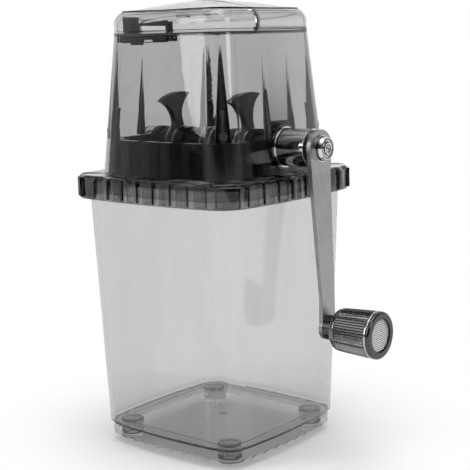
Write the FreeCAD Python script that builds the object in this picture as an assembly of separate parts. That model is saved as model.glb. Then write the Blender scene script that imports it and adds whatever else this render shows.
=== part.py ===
import FreeCAD, Part
import math
import os

# Hand cranked ice crusher, millimetres. Z is up, the crank side is +X, the filling flap is at -Y.
# The origin is on the table, under the middle of the ice bin.

V = FreeCAD.Vector
AXIS_X = V(1, 0, 0)
AXIS_Z = V(0, 0, 1)
CENTRE = V(0, 0, 0)

# fits
run_gap = 0.05        # radial clearance of a turning fit
body_gap = 0.3        # space between pieces that move against each other
screw_gap = 0.1       # radial clearance of a screw in its hole
overlap = 0.5         # how far fused details reach into the wall that carries them

# ice bin
foot_height = 4.8
foot_radius = 6.2
foot_tip_radius = 5.6
foot_boss_radius = 6.75
foot_pitch_half = 38.0
foot_stem_radius = 2.9
foot_stem_length = 3.6
floor_top = 13.2
floor_thickness = 2.4
floor_disc_height = 0.8
gate_mark_radius = 2.5
gate_mark_height = 0.5
skirt_inset = 1.5
skirt_corner = 11.0
skirt_bow = 2.6
skirt_wall = 2.2
scallop_count = 9
scallop_end = 38.0     # place of the last wave of the skirt's edge, from the middle
scallop_width = 7.4
scallop_depth = 0.8
bin_start = 12.2
bin_half_low = 53.8
bin_corner_low = 11.5
bin_half_high = 60.8
bin_corner_high = 19.5
bin_bow = 2.8
bin_wall = 2.2
bin_edge_radius = 1.6
bin_top = 159.5

# collar
collar_skirt_depth = 13.8
collar_overhang = 3.0
collar_corner = 15.7
collar_bow = 3.3
collar_edge_radius = 1.6
collar_plate = 4.0
collar_lip_depth = 6.0
collar_lip_wall = 2.0
collar_throat_half = 46.0
collar_throat_corner = 11.0
pad_proud = 1.6
pad_count = 8
pad_end_inset = 22.1
pad_width = 7.6
pad_low = 1.0
pad_height = 11.3
pad_corner_inset = 12.3
pad_edge_radius = 0.7

# housing
housing_half_low = 52.9
housing_corner_low = 15.7
housing_half_high = 45.8
housing_corner_high = 13.6
housing_bow = 2.3
housing_height = 80.6
housing_wall = 2.2
rim_band_height = 1.3
rim_band_proud = 0.3

# crank shaft
axis_height = 15.1    # above the housing's lower edge
shaft_radius = 3.0
shaft_square = 5.2
boss_radius = 10.8
boss_reach = 72.0
boss_bore = 6.0
boss_flange_radius = 13.2
boss_flange_height = 1.6
end_boss_radius = 9.0
end_boss_reach = housing_half_low
bush_inset = 6.0      # how far the bushes reach in past the hollow's side

# hopper tray
tray_height = 19.7
tray_wall = 2.4
tray_floor = 2.4
tray_rim_width = 3.6
tray_rim_height = 3.0
throat_half_x = 42.0
throat_half_y = 32.5
tray_rib_places = (-22.0, 0.0, 23.0)
tray_rib_width = 1.6
tray_rib_depth = 1.4
tray_pocket_half = 34.0
tab_rise = 14.5       # top of the tray's tab, above the crank shaft
tab_thickness = 3.4
tab_corner_radius = 1.5
post_radius = 4.4
post_sink = 0.4
pin_post_radius = 2.3
pin_post_height = 37.7
pin_post_depth = 3.3   # from the housing's inner corner
rib_sink = 0.5        # share of a rib's radius that stands out of the inner wall's line
spike_height = 72.0
spike_tip_radius = 0.5
wall_spike_place = 11.0
wall_spike_corners = ((1, -1), (1, 1), (-1, -1))
wall_spike_high = 65.5
wall_spike_radius = 3.2
corner_screw_height = 24.0
corner_screw_head = 2.3
corner_screw_head_depth = 1.3
corner_screw_shank = 1.3
corner_screw_length = 5.0

# picks, sleeves and combs
pick_places = (-26.5, 0.0, 26.5)
pick_names = ("pick_left", "pick_middle", "pick_right")
pick_turns = (0.0, 180.0, 0.0)
pick_lean = 9.7
pick_thickness = 4.0
pick_radius = 30.3
pick_half_span = 24.5
pick_waist_half = 3.3
pick_waist_at = 15.5
pick_hub_radius = 8.6
pick_foot_across = 0.7    # where the blade leaves the hub, as shares of the hub's radius
pick_foot_up = 0.6
sleeve_radius = 9.5
sleeve_waist_depth = 1.2
ring_thickness = 1.2
ring_radius = 10.0
comb_plate = 2.5
comb_half_x = 36.2
comb_root = 31.5
finger_places = (-33.5, -19.5, -7.0, 7.0, 19.5, 33.5)
finger_width = 4.0
finger_height = 8.0
finger_gap = 0.9
finger_root = 3.0     # how far a finger's root lies in the plate
comb_screw_places = (-26.0, 26.0)
comb_screw_in = 4.6
comb_screw_head = 3.0
comb_screw_head_height = 1.8
comb_screw_shank = 1.5
comb_screw_slot_half = 0.4
comb_screw_slot_floor = 1.0

# end nut, crank arm and knob
end_nut_across = 10.0
end_nut_height = 2.4
end_nut_dome = 1.8
end_nut_dome_inset = 0.4
end_washer = 0.8
end_washer_radius = 6.6
crank_radius = 100.5
arm_standoff = 5.0     # from the housing's boss to the arm's outer face
arm_lean = 4.0
arm_sheet = 1.5
arm_depth = 2.4
arm_flange = 1.4
arm_hub_radius = 10.4
arm_tip_radius = 6.9
arm_tip_share = 0.9   # width of the blade where it meets the tip's circle
arm_top_half = 8.9
arm_low_half = 5.9
arm_top_drop = 12.0
arm_taper_drop = 84.0
arm_bend_high = 14.0
arm_bend_low = 84.0
hub_boss_radius = 6.5
flange_washer_radius = 7.4
flange_washer = 1.2
crank_nut_radius = 7.0
crank_nut_face_radius = 6.0
crank_nut_height = 3.2
crank_nut_cap = 1.2
crank_nut_groove = (4.2, 5.0, 0.4)    # inner radius, outer radius and depth of the ring turned into its face
crank_nut_centre_radius = 3.4
crank_nut_centre_height = 0.6
crank_nut_dimple_radius = 2.2
crank_nut_dimple_depth = 0.3
knob_gap = 6.4
knob_length = 27.9
knob_radius = 13.2
knob_start_radius = 12.1
knob_shoulder = 4.0
knob_shoulder_round = 3.4
knob_flute_count = 54
knob_flute_depth = 0.5
knob_groove_from_end = 3.9
knob_neck_width = 2.1
knob_neck_depth = 2.0
knob_ring_side_gap = 0.3
knob_ring_proud = 0.15
knob_ring_round = 0.5
knob_rim_radius = 1.3
spindle_radius = 4.0
spindle_head_radius = 5.2
spindle_head_height = 2.0
spindle_collar_radius = 7.0
spindle_nut_radius = 5.6
spindle_nut_height = 2.6
disc_radius = 9.4
disc_recess = 1.0
disc_thickness = 1.2
disc_edge_radius = 0.3

# lid
lid_side_height = 4.2
lid_round = 7.9
lid_crown = 5.7
lid_crease_inset = 5.0
lid_crease_step = 0.4
crown_steps = 12      # spans of the crown's surface each way
lid_wall = 1.8
lid_roof = 2.2
split_place = -14.0
split_gap = 0.8
cover_lip_depth = 2.4
cover_lip_wall = 1.4
lid_pin_height = 15.3
lid_pin_radius = 0.8
knuckle_radius = 1.5
knuckle_half = 6.7
ear_end = 14.0
ear_web = 1.6
ear_back = 1.5        # how far the ears reach back past the hinge groove
ear_front = 0.4
ear_rise = 1.0
groove_radius = 2.9
groove_half = 21.0

# lid catch
catch_back = 6.0
catch_thickness = 1.6
catch_left = -32.5
catch_right = 5.4
catch_drop = 1.0
catch_body_height = 5.0
catch_body_step = 1.0
catch_foot_end = 3.8
catch_foot_height = 1.2
catch_bar_rise = 4.0          # the slanting bar between the legs, above the cross body
catch_bar_left = (0.6, 1.8)   # its lower and upper edge at its two ends
catch_bar_right = (0.0, 3.4)
catch_leg_wide = (-31.2, -20.2, 9.4)
catch_leg_narrow = (1.4, 5.4, 6.6)
catch_bump = (-25.5, -17.0, 1.2)
catch_slot = (-16.5, -8.5, 1.1)
catch_slot_floor = 0.5
catch_pin_drop = 2.3
catch_pin_radius = 0.8
catch_eye_radius = 1.7
catch_lug_thickness = 1.6
catch_lug_height = 4.4

# levels that follow from the sizes above
floor_under = floor_top - floor_thickness
collar_low = bin_top + body_gap - (collar_skirt_depth - collar_plate)
collar_top = bin_top + body_gap + collar_plate
housing_low = collar_top
housing_top = housing_low + housing_height
shaft_z = housing_low + axis_height
tray_top = housing_low + tray_height
tray_floor_top = housing_low + tray_floor
flap_low = housing_top + body_gap
knob_z = shaft_z - crank_radius
arm_offset = boss_reach + arm_standoff
knob_start = arm_offset + arm_lean + knob_gap
knob_end = knob_start + knob_length
skirt_half = bin_half_low - skirt_inset
collar_half = bin_half_high + collar_overhang
pin_post_top = housing_low + pin_post_height


def outline_numbers(form):
    """Centre and radius of the bowed sides, centre of the corners, and the angle where they meet."""
    half, corner, bow = form
    reach = half - corner
    side_radius = (reach * reach + bow * bow) / (2 * bow)
    side_centre = half - side_radius
    rest = (side_radius - corner) ** 2
    corner_centre = (side_centre + math.sqrt(2 * rest - side_centre * side_centre)) / 2
    turn = math.atan2(corner_centre, corner_centre - side_centre)
    return side_centre, side_radius, corner_centre, turn


def outline_wire(form, z):
    """Rounded square with bowed sides: form is half width at mid side, corner radius and bow."""
    side_centre, side_radius, corner_centre, turn = outline_numbers(form)
    corner = form[1]

    def side_point(angle):
        return V(side_centre + side_radius * math.cos(angle), side_radius * math.sin(angle), z)

    def corner_point(angle):
        x = corner_centre + corner * math.cos(angle)
        y = corner_centre + corner * math.sin(angle)
        return V(x, y, z)

    quarter = math.pi / 2
    pieces = [Part.Arc(side_point(-turn), side_point(0), side_point(turn))]
    pieces.append(Part.Arc(side_point(turn), corner_point(quarter / 2), corner_point(quarter - turn)))
    edges = []
    for step in range(4):
        for piece in pieces:
            edge = piece.toShape()
            edge.rotate(CENTRE, AXIS_Z, 90 * step)
            edges.append(edge)
    return Part.Wire(Part.__sortEdges__(edges))


def corner_reach(form):
    """Distance from the axis to the outline along the diagonal."""
    corner_centre = outline_numbers(form)[2]
    return corner_centre * math.sqrt(2) + form[1]


def inset(form, distance):
    half, corner, bow = form
    return (half - distance, corner - distance, bow)


def mix(form_a, form_b, share):
    return tuple(a + (b - a) * share for a, b in zip(form_a, form_b))


def prism(form, z_low, z_high):
    face = Part.Face(outline_wire(form, z_low))
    return face.extrude(V(0, 0, z_high - z_low))


def taper(form_low, z_low, form_high, z_high):
    wires = [outline_wire(form_low, z_low), outline_wire(form_high, z_high)]
    return Part.makeLoft(wires, True, True)


def box(x_low, x_high, y_low, y_high, z_low, z_high):
    return Part.makeBox(x_high - x_low, y_high - y_low, z_high - z_low, V(x_low, y_low, z_low))


def rod(radius, x_low, x_high, y=0.0, z=None):
    height = shaft_z if z is None else z
    return Part.makeCylinder(radius, x_high - x_low, V(x_low, y, height), AXIS_X)


def post(radius, x, y, z_low, z_high):
    return Part.makeCylinder(radius, z_high - z_low, V(x, y, z_low), AXIS_Z)


def spike(start, start_radius, tip, tip_radius):
    """Tapering round rib between two points, cut level at both ends."""
    direction = tip - start
    span = direction.Length
    narrowing = (start_radius - tip_radius) / span
    low = start - direction * (start_radius / span)
    length = start_radius + span + tip_radius
    if narrowing:
        wide = start_radius * (1 + narrowing)
        rib = Part.makeCone(wide, tip_radius * (1 - narrowing), length, low, direction)
    else:
        rib = Part.makeCylinder(start_radius, length, low, direction)
    side = 2 * (abs(start.x) + abs(start.y) + start_radius)
    return rib.common(box(-side, side, -side, side, start.z, tip.z))


def quarter_turns(shape):
    copies = []
    for step in range(4):
        copy = shape.copy()
        copy.rotate(CENTRE, AXIS_Z, 90 * step)
        copies.append(copy)
    return copies


def joined(shapes):
    first = shapes[0]
    return first.fuse(shapes[1:]).removeSplitter() if len(shapes) > 1 else first


def edges_at(shape, z, slack=0.01):
    found = []
    for edge in shape.Edges:
        limits = edge.BoundBox
        if abs(limits.ZMin - z) < slack and abs(limits.ZMax - z) < slack:
            found.append(edge)
    return found


def rounded_at(shape, z, radius):
    return shape.makeFillet(radius, edges_at(shape, z))


# forms at the levels where pieces meet
bin_low_form = (bin_half_low, bin_corner_low, bin_bow)
bin_high_form = (bin_half_high, bin_corner_high, bin_bow)
skirt_form = (skirt_half, skirt_corner, skirt_bow)
collar_form = (collar_half, collar_corner, collar_bow)
throat_form = (collar_throat_half, collar_throat_corner, housing_bow)
housing_low_form = (housing_half_low, housing_corner_low, housing_bow)
housing_high_form = (housing_half_high, housing_corner_high, housing_bow)
lid_form = housing_high_form


def housing_form(z):
    return mix(housing_low_form, housing_high_form, (z - housing_low) / housing_height)


def bin_form(z):
    return mix(bin_low_form, bin_high_form, (z - bin_start) / (bin_top - bin_start))


def wall_inside(z):
    """Half width of the housing's hollow at mid side."""
    return housing_form(z)[0] - housing_wall


def make_ice_bin():
    outer = taper(bin_low_form, bin_start, bin_high_form, bin_top)
    outer = rounded_at(outer, bin_start, bin_edge_radius)
    skirt = prism(skirt_form, foot_height, floor_top)
    body = outer.fuse(skirt)
    above = bin_top + 1.0
    hollow = taper(inset(bin_form(floor_top), bin_wall), floor_top, inset(bin_form(above), bin_wall), above)
    body = body.cut(hollow)
    body = body.cut(prism(inset(skirt_form, skirt_wall), foot_height - 1.0, floor_under))
    details = [body, post(gate_mark_radius, 0, 0, floor_top - overlap, floor_top + gate_mark_height)]
    socket = []
    for x in (-foot_pitch_half, foot_pitch_half):
        for y in (-foot_pitch_half, foot_pitch_half):
            details.append(post(foot_boss_radius, x, y, foot_height, floor_top + floor_disc_height))
            top = foot_height + foot_stem_length + body_gap
            socket.append(post(foot_stem_radius + screw_gap, x, y, foot_height - 1.0, top))
    return joined(details).cut(Part.makeCompound(socket + skirt_scallops()))


def skirt_scallops():
    """Shallow waves along the skirt's lower edge."""
    wave_radius = (scallop_width ** 2 / 4 + scallop_depth ** 2) / (2 * scallop_depth)
    near = skirt_half - skirt_bow - skirt_wall - overlap
    waves = []
    for number in range(scallop_count):
        y = scallop_end * (2 * number / (scallop_count - 1) - 1)
        place = V(near, y, foot_height + scallop_depth - wave_radius)
        waves += quarter_turns(Part.makeCylinder(wave_radius, skirt_half + 1.0 - near, place, AXIS_X))
    return waves


def make_foot_pads():
    pads = []
    for x in (-foot_pitch_half, foot_pitch_half):
        for y in (-foot_pitch_half, foot_pitch_half):
            pad = Part.makeCone(foot_tip_radius, foot_radius, foot_height, V(x, y, 0), AXIS_Z)
            stem = post(foot_stem_radius, x, y, foot_height - overlap, foot_height + foot_stem_length)
            pads.append(pad.fuse(stem).removeSplitter())
    return Part.makeCompound(pads)


def grip_pads():
    """Raised pads around the collar, cut out of a slightly larger ring."""
    low = collar_low + pad_low
    high = low + pad_height
    ring = prism(inset(collar_form, -pad_proud), low, high).cut(prism(inset(collar_form, overlap), low - 1, high + 1))
    far = collar_half + 3 * pad_proud
    near = collar_half - collar_bow - 2 * pad_proud
    parts = []
    corner_reach_low = collar_half - pad_corner_inset
    for number in range(pad_count):
        y = (collar_half - pad_end_inset) * (2 * number / (pad_count - 1) - 1)
        cutter = box(near, far, y - pad_width / 2, y + pad_width / 2, low, high)
        parts += quarter_turns(softened_pad(ring.common(cutter), V(1, 0, 0)))
    corner = ring.common(box(corner_reach_low, far, corner_reach_low, far, low, high))
    return parts + quarter_turns(softened_pad(corner, V(1, 1, 0)))


def softened_pad(pad, outward):
    """Round the outer edges of one grip pad, which faces outward."""
    pad = pad.Solids[0]
    edges = []
    for edge in pad.Edges:
        if (edge.CenterOfMass - pad.CenterOfMass).dot(outward) > pad_proud / 4:
            edges.append(edge)
    return pad.makeFillet(pad_edge_radius, edges)


def make_collar_ring():
    body = rounded_at(prism(collar_form, collar_low, collar_top), collar_top, collar_edge_radius)
    groove = prism(inset(bin_high_form, -body_gap), collar_low - 1.0, bin_top + body_gap)
    lip_low = bin_top - collar_lip_depth
    lip_form = inset(bin_form(lip_low), bin_wall + body_gap)
    lip = prism(lip_form, lip_low, bin_top + body_gap + overlap)
    lip = lip.cut(prism(inset(lip_form, collar_lip_wall), lip_low - 1.0, bin_top + body_gap))
    throat = prism(throat_form, collar_low - 2.0, collar_top + 1.0)
    body = joined([body.cut(groove), lip] + grip_pads())
    return body.cut(throat)


def make_housing_shell():
    outer = taper(housing_low_form, housing_low, housing_high_form, housing_top)
    band_low = housing_top - rim_band_height
    band = prism(inset(housing_high_form, -rim_band_proud), band_low, housing_top)
    above = housing_top + 1.0
    below = housing_low - 1.0
    hollow = taper(inset(housing_form(below), housing_wall), below, inset(housing_form(above), housing_wall), above)
    shell = outer.fuse(band).cut(hollow)
    mid_wall = taper(inset(housing_low_form, housing_wall / 2), housing_low,
                     inset(housing_high_form, housing_wall / 2), housing_top)
    inner_parts = Part.makeCompound(housing_spikes() + catch_lugs()).common(mid_wall)
    boss = rod(boss_radius, wall_inside(shaft_z), boss_reach)
    wall_x = wall_inside(shaft_z) + housing_wall
    flange = rod(boss_flange_radius, wall_x - housing_wall, wall_x + boss_flange_height)
    end_boss = rod(end_boss_radius, -end_boss_reach, -wall_inside(shaft_z))
    shell = joined([shell] + inner_parts.Solids + [boss, flange, end_boss])
    shell = shell.cut(hollow_keep_clear())
    bores = [rod(boss_bore, -boss_reach, boss_reach)]
    bores += corner_screws(corner_screw_shank + screw_gap, corner_screw_head + screw_gap)
    shell = shell.cut(Part.makeCompound(pin_posts(pin_post_radius + body_gap, pin_post_top + body_gap)))
    pin = catch_pin_rod(catch_pin_radius)
    return shell.cut(Part.makeCompound(bores)).cut(pin)


def hollow_keep_clear():
    """The tray's place: nothing of the housing reaches into it."""
    low = housing_low - 1.0
    high = tray_top + body_gap
    slack = housing_wall + body_gap / 2
    return taper(inset(housing_form(low), slack), low, inset(housing_form(high), slack), high)


def corner_place(z, depth):
    """Point in the housing's corner, that deep inside the inner wall."""
    place = (corner_reach(inset(housing_form(z), housing_wall)) - depth) / math.sqrt(2)
    return V(place, place, z)


def housing_spikes():
    """Ribs on the walls and in the corners, which widen downward to just above the tray."""
    low_z = tray_top + body_gap
    start = corner_place(low_z, post_radius * rib_sink)
    tip = corner_place(housing_low + spike_height, spike_tip_radius * rib_sink)
    shapes = quarter_turns(spike(start, post_radius, tip, spike_tip_radius))
    high_z = housing_low + wall_spike_high
    for side, row in wall_spike_corners:
        foot = V(side * wall_inside(low_z), row * wall_spike_place, low_z)
        head = V(side * wall_inside(high_z), row * wall_spike_place, high_z)
        shapes.append(spike(foot, wall_spike_radius, head, spike_tip_radius))
    return shapes


def pin_posts(radius, top_z):
    """The tray's slim corner posts, or the channels for them in the housing's corner ribs."""
    low = corner_place(tray_top - tray_rim_height, pin_post_depth)
    return quarter_turns(spike(low, radius, corner_place(top_z, pin_post_depth), radius))


def make_hopper_tray():
    """Dark insert that holds the combs: walls, floor with the drop opening, a tab for the bush and corner posts."""
    slack = housing_wall + body_gap
    thick = slack + tray_wall
    low_form = inset(housing_form(housing_low), slack)
    top_form = inset(housing_form(tray_top), slack)
    rim_low = tray_top - tray_rim_height
    above = tray_top + 1.0
    outer = taper(low_form, housing_low, top_form, tray_top)
    inner_low = inset(housing_form(tray_floor_top), thick)
    inner_high = inset(housing_form(rim_low), thick)
    hollow = taper(inner_low, tray_floor_top, inner_high, rim_low)
    mouth = prism(inset(top_form, tray_rim_width), rim_low - 0.1, above)
    tray = outer.cut(hollow).cut(mouth).cut(tray_outer_pockets(outer))
    for piece in tray_posts() + pin_posts(pin_post_radius, pin_post_top) + [tray_tab()]:
        tray = tray.fuse(piece)
    throat = box(-throat_half_x, throat_half_x, -throat_half_y, throat_half_y, housing_low - 1.0, tray_floor_top + 1.0)
    cuts = [throat, rod(boss_bore + screw_gap, -boss_reach, boss_reach)]
    for x, y in comb_screw_centres():
        cuts.append(post(comb_screw_shank + screw_gap, x, y, housing_low - 1.0, tray_floor_top + 1.0))
    cuts += corner_screws(corner_screw_shank + screw_gap)
    return tray.cut(Part.makeCompound(cuts))


def tray_posts():
    depth = post_radius + body_gap + post_sink
    low = corner_place(housing_low, depth)
    return quarter_turns(spike(low, post_radius, corner_place(tray_top, depth), post_radius))


def tray_tab():
    """Upright tab on the crank side, between the housing's wall ribs, which the drive bush passes."""
    top_z = shaft_z + tab_rise
    face = wall_inside(top_z) - body_gap
    half = wall_spike_place - wall_spike_radius - body_gap
    tab = box(face - tab_thickness, face, -half, half, tray_floor_top - overlap, top_z)
    corners = []
    for edge in tab.Edges:
        if edge.BoundBox.XLength > tab_thickness / 2 and edge.CenterOfMass.z > top_z - overlap:
            corners.append(edge)
    return tab.makeFillet(tab_corner_radius, corners)


def tray_outer_pockets(outer):
    """Shallow pockets on the four outer walls leave the rim, the ribs and the corners proud."""
    z_low = housing_low + tray_floor
    z_high = tray_top - tray_rim_height
    slack = housing_wall + body_gap + tray_rib_depth
    far = housing_half_low
    core = taper(inset(housing_form(housing_low), slack), housing_low, inset(housing_form(tray_top), slack), tray_top)
    stops = [-tray_pocket_half] + list(tray_rib_places) + [tray_pocket_half]
    pockets = []
    for start, end in zip(stops[:-1], stops[1:]):
        cutter = box(start + tray_rib_width / 2, end - tray_rib_width / 2, -far, -far / 2, z_low, z_high)
        for turned in quarter_turns(cutter):
            pockets.append(turned.common(outer).cut(core))
    return Part.makeCompound(pockets)


def comb_back():
    """How far back the comb's plate goes: just short of the tray's bowed wall."""
    half, corner, bow = housing_form(tray_floor_top)
    return half - housing_wall - tray_wall - bow - 2 * body_gap


def comb_screw_centres():
    y = comb_back() - comb_screw_in
    return [(x, side * y) for x in comb_screw_places for side in (-1, 1)]


def make_comb(side):
    """Fixed crushing comb: a plate on the tray's floor with fingers that reach in between the picks."""
    tip = sleeve_radius + finger_gap
    low = tray_floor_top
    parts = [box(-comb_half_x, comb_half_x, -comb_back(), -comb_root, low, low + comb_plate)]
    root = -comb_root - finger_root
    for x in finger_places:
        parts.append(box(x - finger_width / 2, x + finger_width / 2, root, -tip, low, low + finger_height))
    comb = joined(parts)
    holes = [post(comb_screw_shank + screw_gap, x, y, low - 1.0, low + comb_plate + 1.0)
             for x, y in comb_screw_centres()]
    if side > 0:
        comb.rotate(CENTRE, AXIS_Z, 180)
    return comb.cut(Part.makeCompound(holes))


def make_comb_screws():
    screws = []
    seat = tray_floor_top + comb_plate
    for x, y in comb_screw_centres():
        head = post(comb_screw_head, x, y, seat, seat + comb_screw_head_height)
        head = rounded_at(head, seat + comb_screw_head_height, comb_screw_head_height / 3)
        half = comb_screw_slot_half
        slot = box(x - comb_screw_head, x + comb_screw_head, y - half, y + half,
                   seat + comb_screw_slot_floor, seat + comb_screw_head_height + 1.0)
        shank = post(comb_screw_shank, x, y, housing_low + body_gap, seat + overlap)
        screws.append(head.fuse(shank).removeSplitter().cut(slot))
    return Part.makeCompound(screws)


def corner_screws(shank_radius, head_radius=0.0, spare=1.0):
    """Radial screws through the housing's corners into the tray's posts, or the holes for them."""
    z = housing_low + corner_screw_height
    seat = corner_reach(housing_form(z)) - corner_screw_head_depth
    shank_end = seat - corner_screw_length - spare
    parts = []
    screw = Part.makeCylinder(shank_radius, seat + spare - shank_end, V(shank_end, 0, z), AXIS_X)
    if head_radius:
        head = Part.makeCylinder(head_radius, corner_screw_head_depth + spare, V(seat, 0, z), AXIS_X)
        screw = screw.fuse(head)
    for step in range(4):
        part = screw.copy()
        part.rotate(CENTRE, AXIS_Z, 45 + 90 * step)
        parts.append(part)
    return parts


def make_corner_screws():
    return Part.makeCompound(corner_screws(corner_screw_shank, corner_screw_head, 0.0))


def bush_inner_end():
    return wall_inside(shaft_z) - bush_inset


def make_drive_bush():
    inner_end = bush_inner_end()
    body = rod(boss_bore, inner_end, boss_reach)
    return body.cut(rod(shaft_radius + run_gap, inner_end - 1.0, boss_reach + 1.0))


def make_end_bush():
    inner_end = bush_inner_end()
    body = rod(boss_bore, -end_boss_reach, -inner_end)
    return body.cut(rod(shaft_radius + run_gap, -end_boss_reach - 1.0, -inner_end + 1.0))


def square_bar(side, x_low, x_high):
    half = side / 2
    return box(x_low, x_high, -half, half, shaft_z - half, shaft_z + half)


def sleeve_end():
    return bush_inner_end() - body_gap


def arm_seat():
    return arm_offset - arm_sheet


def make_drive_shaft():
    """Round where it runs in the bushes, square where it drives the picks and the crank arm."""
    left_end = -end_boss_reach - body_gap - end_nut_height
    right_end = arm_offset + flange_washer + crank_nut_height - crank_nut_cap
    shaft = rod(shaft_radius, left_end, right_end)
    for x_low, x_high in ((-sleeve_end(), sleeve_end()), (arm_seat(), arm_offset)):
        shaft = shaft.cut(rod(shaft_radius + 1.0, x_low, x_high).cut(square_bar(shaft_square, x_low, x_high)))
    return shaft


def pick_profile():
    span = math.radians(pick_half_span)
    tip = V(0, pick_radius * math.sin(span), pick_radius * math.cos(span))
    other_tip = V(0, -tip.y, tip.z)
    crest = V(0, 0, pick_radius)
    waist = V(0, pick_waist_half, pick_waist_at)
    foot = V(0, pick_hub_radius * pick_foot_across, pick_hub_radius * pick_foot_up)
    head = Part.Arc(tip, crest, other_tip).toShape()
    left = Part.Arc(other_tip, V(0, -waist.y, waist.z), V(0, -foot.y, foot.z)).toShape()
    base = Part.LineSegment(V(0, -foot.y, foot.z), foot).toShape()
    right = Part.Arc(foot, waist, tip).toShape()
    return Part.Face(Part.Wire([head, left, base, right]))


def make_pick(x, turn):
    blade = pick_profile().extrude(V(pick_thickness, 0, 0))
    hub = Part.makeCylinder(pick_hub_radius, pick_thickness, CENTRE, AXIS_X)
    pick = blade.fuse(hub).removeSplitter()
    pick.rotate(CENTRE, AXIS_X, pick_lean + turn)
    pick.translate(V(x - pick_thickness / 2, 0, shaft_z))
    return pick.cut(square_bar(shaft_square, x - pick_thickness, x + pick_thickness))


def ring_places():
    """Both faces of every pick carry a bright ring."""
    places = []
    for x in pick_places:
        places.append((x - pick_thickness / 2 - ring_thickness, x - pick_thickness / 2))
        places.append((x + pick_thickness / 2, x + pick_thickness / 2 + ring_thickness))
    return places


def make_pick_rings():
    rings = []
    for x_low, x_high in ring_places():
        ring = rod(ring_radius, x_low, x_high).cut(square_bar(shaft_square, x_low - 1, x_high + 1))
        rings.append(ring)
    return Part.makeCompound(rings)


def make_spacer_sleeves():
    """Sleeves fill the shaft between the rings, with a shallow waist at mid length."""
    stops = [-sleeve_end()]
    for x_low, x_high in ring_places():
        stops += [x_low, x_high]
    stops.append(sleeve_end())
    sleeves = []
    pairs = [(stops[0], stops[1])]
    for number in range(4, len(stops) - 1, 4):
        pairs.append((stops[number], stops[number + 1]))
    pairs.append((stops[-2], stops[-1]))
    for x_low, x_high in pairs:
        sleeve = rod(sleeve_radius, x_low, x_high)
        third = (x_high - x_low) / 3
        waist = rod(sleeve_radius + 1, x_low + third, x_high - third).cut(
            rod(sleeve_radius - sleeve_waist_depth, x_low + third, x_high - third))
        sleeves.append(sleeve.cut(waist).cut(square_bar(shaft_square, x_low - 1, x_high + 1)))
    return Part.makeCompound(sleeves)


def hexagon(across, x_low, x_high, z=None):
    height = shaft_z if z is None else z
    radius = across / 2 / math.cos(math.pi / 6)
    points = []
    for step in range(7):
        angle = math.radians(60 * step)
        points.append(V(x_low, radius * math.cos(angle), height + radius * math.sin(angle)))
    return Part.Face(Part.makePolygon(points)).extrude(V(x_high - x_low, 0, 0))


def dome_cap(radius, height, x_base, outward):
    """Spherical cap on the shaft axis that rises from x_base."""
    ball = (radius * radius + height * height) / (2 * height)
    half_turn = math.asin(radius / ball) / 2
    crown_x = x_base + outward * height
    middle = V(crown_x - outward * ball * (1 - math.cos(half_turn)), 0, shaft_z + ball * math.sin(half_turn))
    foot = V(x_base, 0, shaft_z + radius)
    crown = V(crown_x, 0, shaft_z)
    base = V(x_base, 0, shaft_z)
    wire = Part.Wire([Part.Arc(foot, middle, crown).toShape(), Part.makeLine(crown, base), Part.makeLine(base, foot)])
    return Part.Face(wire).revolve(base, AXIS_X, 360)


def make_end_nut():
    """Domed nut and washer on the far end of the shaft."""
    x_face = -end_boss_reach - body_gap
    washer = rod(end_washer_radius, x_face - end_washer, x_face)
    nut = hexagon(end_nut_across, x_face - end_nut_height, x_face - end_washer)
    dome = dome_cap(end_nut_across / 2 - end_nut_dome_inset, end_nut_dome, x_face - end_nut_height, -1)
    nut = joined([washer, nut, dome])
    return nut.cut(rod(shaft_radius, x_face - end_nut_height, x_face + 1.0))


def arm_side_profile(depth, shift):
    """The arm seen from the side: flat at the hub, leaning out, flat again at the knob."""
    top = shaft_z + arm_hub_radius + 1.0
    high = shaft_z - arm_bend_high
    low = shaft_z - arm_bend_low
    bottom = knob_z - arm_tip_radius - 1.0
    x_top = arm_offset + shift
    x_low = x_top + arm_lean
    front = [V(x_top, 0, top), V(x_top, 0, high), V(x_low, 0, low), V(x_low, 0, bottom)]
    back = [V(point.x - depth, 0, point.z) for point in reversed(front)]
    return Part.Face(Part.makePolygon(front + back + front[:1]))


def arm_front_profile(shrink):
    """The arm seen along the shaft: round hub, tapering blade and round tip."""
    hub_radius = arm_hub_radius - shrink
    tip_radius = arm_tip_radius - shrink
    top_half = arm_top_half - shrink
    low_half = arm_low_half - shrink
    top_z = shaft_z - arm_top_drop
    low_z = shaft_z - arm_taper_drop
    tip_half = tip_radius * arm_tip_share
    points = [V(0, -top_half, top_z), V(0, top_half, top_z), V(0, low_half, low_z), V(0, tip_half, knob_z),
              V(0, -tip_half, knob_z), V(0, -low_half, low_z), V(0, -top_half, top_z)]
    blade = Part.Face(Part.makePolygon(points))
    neck = [V(0, -top_half, top_z), V(0, -hub_radius, shaft_z), V(0, hub_radius, shaft_z), V(0, top_half, top_z),
            V(0, -top_half, top_z)]
    return [blade, Part.Face(Part.makePolygon(neck)), (hub_radius, shaft_z), (tip_radius, knob_z)]


def arm_front_solid(shrink):
    start = arm_offset - 2 * arm_depth
    length = arm_lean + 4 * arm_depth
    shapes = []
    for item in arm_front_profile(shrink):
        if isinstance(item, tuple):
            shapes.append(Part.makeCylinder(item[0], length, V(start, 0, item[1]), AXIS_X))
        else:
            item.translate(V(start, 0, 0))
            shapes.append(item.extrude(V(length, 0, 0)))
    return joined(shapes)


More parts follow.
